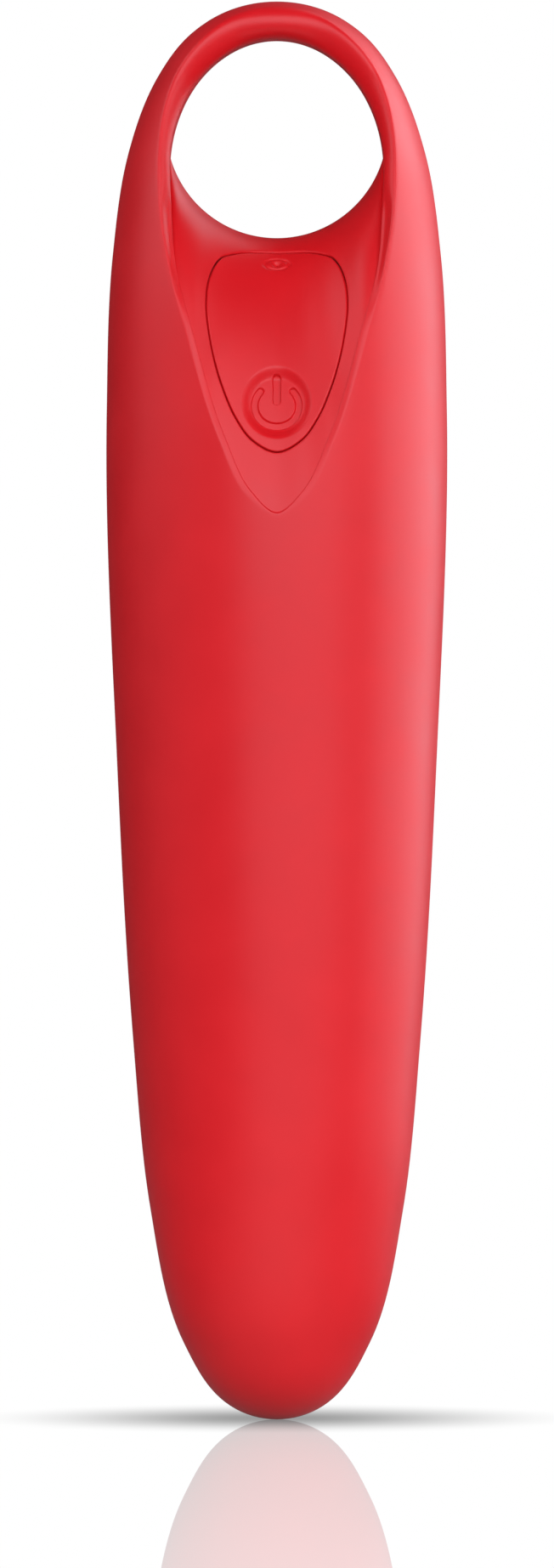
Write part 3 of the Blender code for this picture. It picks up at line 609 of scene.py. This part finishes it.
def finish(
    made,
    colour,
    roughness,
    metallic=0.0,
    level=0.5,
    contrast=0.08,
    grain=2500.0,
    height=PLAIN_GRAIN,
    stretch=None,
):
    """A surface whose colour and roughness vary a little, with a fine grain; stretch draws the grain out."""
    made.use_nodes = True
    nodes, links = made.node_tree.nodes, made.node_tree.links
    nodes.clear()
    shader = nodes.new("ShaderNodeBsdfPrincipled")
    output = nodes.new("ShaderNodeOutputMaterial")
    links.new(shader.outputs[0], output.inputs["Surface"])
    shader.inputs["Metallic"].default_value = metallic
    shader.inputs["Specular IOR Level"].default_value = level
    broad = noise(nodes, links, grain / BROAD_TO_GRAIN)
    fine = noise(nodes, links, grain)
    if stretch:
        scale = nodes.new("ShaderNodeMapping")
        scale.inputs["Scale"].default_value = stretch
        link = fine.node.inputs["Vector"].links[0]
        links.new(link.from_socket, scale.inputs["Vector"])
        links.new(scale.outputs["Vector"], fine.node.inputs["Vector"])
    tint = nodes.new("ShaderNodeMix")
    tint.data_type = "RGBA"
    tint.inputs["A"].default_value = (*[channel * (1 - contrast) for channel in colour], 1.0)
    tint.inputs["B"].default_value = (*[min(channel * (1 + contrast), 1.0) for channel in colour], 1.0)
    varied(nodes, links, broad, 0.0, 1.0, tint.inputs["Factor"])
    links.new(tint.outputs["Result"], shader.inputs["Base Color"])
    low, high = roughness - ROUGHNESS_SPREAD, roughness + ROUGHNESS_SPREAD
    varied(nodes, links, broad, low, high, shader.inputs["Roughness"])
    bumped(nodes, links, fine, shader, height)
    return shader


def silicone():
    """Satin silicone: soft wide highlights, a trace of bloom at grazing angles and a very fine grain."""
    made = bpy.data.materials.new("silicone")
    shader = finish(made, (0.71, 0.007, 0.012), 0.42, level=0.42, contrast=0.03, grain=4000.0, height=1.5e-6)
    shader.inputs["Sheen Weight"].default_value = 0.03
    shader.inputs["Sheen Roughness"].default_value = 0.4
    shader.inputs["Sheen Tint"].default_value = (1.0, 0.8, 0.82, 1.0)
    return made


def inner_finishes():
    """Finishes of the inner parts by the record's slots: colour, roughness, metallic, the grain's stretch."""
    looks = {
        "shell_plastic": ((0.75, 0.75, 0.73), 0.48, 0.0, None),
        "black_plastic": ((0.02, 0.02, 0.022), 0.42, 0.0, None),
        "grey_plastic": ((0.2, 0.2, 0.21), 0.5, 0.0, None),
        "board": ((0.012, 0.16, 0.06), 0.32, 0.0, None),
        "steel": ((0.56, 0.57, 0.59), 0.28, 1.0, (1, 1, 0.05)),
        "tungsten": ((0.33, 0.33, 0.35), 0.38, 1.0, None),
        "brass": ((0.78, 0.57, 0.22), 0.3, 1.0, (1, 1, 0.05)),
        "copper": ((0.72, 0.3, 0.13), 0.32, 1.0, (1, 1, 12)),
        "magnet": ((0.045, 0.045, 0.05), 0.6, 0.3, None),
        "carbon": ((0.03, 0.03, 0.03), 0.75, 0.0, None),
        "blue_film": ((0.02, 0.09, 0.42), 0.22, 0.0, (1, 1, 0.1)),
        "foam": ((0.05, 0.05, 0.055), 0.95, 0.0, None),
        "red_wire": ((0.5, 0.01, 0.012), 0.35, 0.0, None),
        "black_wire": ((0.015, 0.015, 0.015), 0.35, 0.0, None),
    }
    made = {}
    for name, (colour, roughness, metallic, stretch) in looks.items():
        made[name] = bpy.data.materials.new(f"fine_{name}")
        height = FOAM_GRAIN if name == "foam" else PLAIN_GRAIN
        finish(made[name], colour, roughness, metallic, height=height, stretch=stretch)
    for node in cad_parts.values():
        for holder in node.material_slots:
            if holder.material and holder.material.name in made:
                holder.material = made[holder.material.name]


# Lights: name, azimuth from the front to the right, elevation, distance, width, height, radiance, colour.
COOL = (1.0, 0.98, 1.08)
LIGHTS = [
    ("front_light", 10, 12, 0.8, 1.1, 0.9, 2.75, COOL),
    ("right_front_light", 50, 8, 0.8, 0.4, 0.9, 0.75, COOL),
    ("right_light", 106, 4, 0.6, 0.8, 0.7, 3.0, COOL),
    ("back_right_light", 132, 42, 0.6, 0.4, 0.5, 1.4, COOL),
    ("left_light", -78, 30, 0.7, 0.8, 0.6, 1.6, COOL),
]
AIM_Z = 0.07
AMBIENT = 0.02

# Floor: a grey that hardly lights the object, a bright card before its tip, and what the camera sees, which
# is white with a shadow under the tip and a trace of the object's mirror image.
FLOOR_HALF = 6.0
FLOOR_GREY = 0.2
CARD, CARD_CENTRE, CARD_RADII = 0.85, (0, -0.06), (0.08, 0.08)
SHADOW, SHADOW_CENTRE, SHADOW_RADII = 0.325, (0, 0.0045), (0.031, 0.0515)
MIRROR_IOR = 1.008

# Camera: lens and sensor in millimetres, the picture's height at the object, and where it looks.
LENS, SENSOR = 500, 36
PICTURE_HEIGHT = 0.1493
VIEW_X, VIEW_Z = 0.00002, 0.0605


def soft_light(name, azimuth, elevation, distance, width, height, radiance, colour):
    """A panel light of even brightness, aimed at the object; azimuth runs from the front to the right."""
    data = bpy.data.lights.new(name, "AREA")
    data.shape = "RECTANGLE"
    data.size, data.size_y = width, height
    data.energy = radiance * math.pi * width * height
    data.color = colour
    obj = bpy.data.objects.new(name, data)
    bpy.context.scene.collection.objects.link(obj)
    turn, rise = math.radians(azimuth), math.radians(elevation)
    way = Vector((math.sin(turn) * math.cos(rise), -math.cos(turn) * math.cos(rise), math.sin(rise)))
    obj.location = Vector((0, 0, AIM_Z)) + way * distance
    obj.rotation_euler = (-way).to_track_quat("-Z", "Y").to_euler()
    obj.visible_camera = False


def ellipse_ramp(nodes, links, centre, radii, inside, outside):
    """A value that turns smoothly from inside, at an ellipse's centre, to outside at its edge."""
    place = nodes.new("ShaderNodeTexCoord")
    scale = nodes.new("ShaderNodeMapping")
    scale.inputs["Location"].default_value = (-centre[0] / radii[0], -centre[1] / radii[1], 0)
    scale.inputs["Scale"].default_value = (1 / radii[0], 1 / radii[1], 1)
    away = nodes.new("ShaderNodeVectorMath")
    away.operation = "LENGTH"
    ramp = nodes.new("ShaderNodeMapRange")
    ramp.interpolation_type = "SMOOTHSTEP"
    ramp.inputs["To Min"].default_value = inside
    ramp.inputs["To Max"].default_value = outside
    links.new(place.outputs["Object"], scale.inputs["Vector"])
    links.new(scale.outputs["Vector"], away.inputs[0])
    links.new(away.outputs["Value"], ramp.inputs["Value"])
    return ramp.outputs["Result"]


def mixed(nodes, links, factor, first, second):
    """A mix of two shaders; the factor is a socket."""
    mix = nodes.new("ShaderNodeMixShader")
    links.new(factor, mix.inputs[0])
    links.new(first.outputs[0], mix.inputs[1])
    links.new(second.outputs[0], mix.inputs[2])
    return mix


def floor():
    """A white floor with a soft shadow at the tip, which mirrors the object at a grazing view."""
    mesh = bpy.data.meshes.new("floor")
    corners = [(x * FLOOR_HALF, y * FLOOR_HALF, 0) for x, y in ((-1, -1), (1, -1), (1, 1), (-1, 1))]
    mesh.from_pydata(corners, [], [(0, 1, 2, 3)])
    made = bpy.data.materials.new("floor")
    made.use_nodes = True
    nodes, links = made.node_tree.nodes, made.node_tree.links
    nodes.clear()
    shade = ellipse_ramp(nodes, links, SHADOW_CENTRE, SHADOW_RADII, SHADOW, 1.0)
    white = nodes.new("ShaderNodeEmission")
    links.new(shade, white.inputs["Strength"])
    mirror_image = nodes.new("ShaderNodeBsdfGlossy")
    mirror_image.inputs["Roughness"].default_value = 0.0
    links.new(shade, mirror_image.inputs["Color"])
    grazing = nodes.new("ShaderNodeFresnel")
    grazing.inputs["IOR"].default_value = MIRROR_IOR
    shown = mixed(nodes, links, grazing.outputs[0], white, mirror_image)
    dim = nodes.new("ShaderNodeBsdfDiffuse")
    dim.inputs["Color"].default_value = (FLOOR_GREY, FLOOR_GREY, FLOOR_GREY, 1)
    card = nodes.new("ShaderNodeEmission")
    glow = ellipse_ramp(nodes, links, CARD_CENTRE, CARD_RADII, CARD, 0.0)
    links.new(glow, card.inputs["Strength"])
    both = nodes.new("ShaderNodeAddShader")
    links.new(dim.outputs[0], both.inputs[0])
    links.new(card.outputs[0], both.inputs[1])
    seen = nodes.new("ShaderNodeLightPath")
    final = mixed(nodes, links, seen.outputs["Is Camera Ray"], both, shown)
    output = nodes.new("ShaderNodeOutputMaterial")
    links.new(final.outputs[0], output.inputs["Surface"])
    mesh.materials.append(made)
    obj = bpy.data.objects.new("floor", mesh)
    bpy.context.scene.collection.objects.link(obj)


def studio():
    """The lights, the floor and a world that looks white to the camera and mirrors but lights only dimly."""
    world = bpy.data.worlds.new("studio")
    bpy.context.scene.world = world
    world.use_nodes = True
    nodes, links = world.node_tree.nodes, world.node_tree.links
    seen = nodes.new("ShaderNodeLightPath")
    bright = nodes.new("ShaderNodeMath")
    bright.operation = "MAXIMUM"
    links.new(seen.outputs["Is Camera Ray"], bright.inputs[0])
    links.new(seen.outputs["Is Singular Ray"], bright.inputs[1])
    strength = nodes.new("ShaderNodeMapRange")
    strength.inputs["To Min"].default_value = AMBIENT
    strength.inputs["To Max"].default_value = 1.0
    links.new(bright.outputs[0], strength.inputs["Value"])
    nodes["Background"].inputs["Color"].default_value = (1, 1, 1, 1)
    links.new(strength.outputs["Result"], nodes["Background"].inputs["Strength"])
    for light in LIGHTS:
        soft_light(*light)
    floor()


def camera():
    data = bpy.data.cameras.new("camera")
    data.lens = LENS
    data.sensor_width = SENSOR
    data.clip_end = 50
    obj = bpy.data.objects.new("camera", data)
    bpy.context.scene.collection.objects.link(obj)
    obj.location = (VIEW_X, -PICTURE_HEIGHT * LENS / SENSOR, VIEW_Z)
    obj.rotation_euler = (math.pi / 2, 0, 0)
    bpy.context.scene.camera = obj


bpy.context.scene.view_settings.view_transform = "Standard"
red = silicone()
inner_finishes()
sleeve(red)
control_panel(red)
power_button(red)
studio()
camera()
